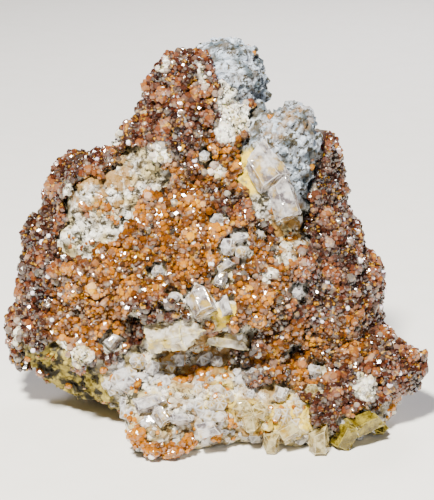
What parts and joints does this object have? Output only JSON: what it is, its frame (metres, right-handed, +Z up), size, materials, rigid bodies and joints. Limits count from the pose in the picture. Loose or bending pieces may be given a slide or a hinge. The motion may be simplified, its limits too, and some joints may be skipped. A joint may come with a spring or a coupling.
{
  "type": "garnet in matrix mineral specimen",
  "caption": "Loose hand specimen of pale rock under a crust of intergrown amber garnets, with clear and milky quartz crystals standing on it.",
  "frame": {"origin": "under the middle of the specimen's box, on the surface that it rests on", "axes": "+Z up, the show face looks towards -Y, and +X is to the right for someone who faces it"},
  "size_m": [0.0746, 0.053, 0.0635],
  "materials": {
    "pale_matrix": "rough, chalky",
    "amber_garnet": "glassy crystal faces",
    "clear_quartz": "glassy, transparent",
    "milky_quartz": "glassy, cloudy",
    "stained_quartz": "glassy, olive stain"
  },
  "bodies": {
    "root": {"band_garnet_far_left": "amber_garnet", "band_garnet_left": "amber_garnet", "band_garnet_right": "amber_garnet", "garnet_crust": "amber_garnet", "matrix": "pale_matrix", "quartz_band_high": "clear_quartz", "quartz_band_left": "clear_quartz", "quartz_band_middle": "clear_quartz", "quartz_band_right": "clear_quartz", "quartz_below_cluster": "clear_quartz", "quartz_beside_block": "clear_quartz", "quartz_central_block": "milky_quartz", "quartz_central_point": "clear_quartz", "quartz_high_cluster": "clear_quartz", "quartz_ledge": "milky_quartz", "quartz_left": "clear_quartz", "quartz_middle": "clear_quartz", "quartz_middle_low": "clear_quartz", "quartz_olive": "stained_quartz", "quartz_pair": "clear_quartz", "quartz_recess": "clear_quartz", "quartz_recess_right": "clear_quartz", "quartz_right_cluster": "clear_quartz", "quartz_right_low": "clear_quartz", "quartz_row_left": "clear_quartz", "quartz_row_right": "clear_quartz", "quartz_square_high": "clear_quartz", "quartz_square_right": "clear_quartz", "quartz_under_lip": "clear_quartz", "quartz_upper": "clear_quartz", "quartz_upper_left": "clear_quartz", "quartz_wedge": "clear_quartz", "recess_garnet": "amber_garnet", "toe_garnets": "amber_garnet"}
  },
  "joints": []
}
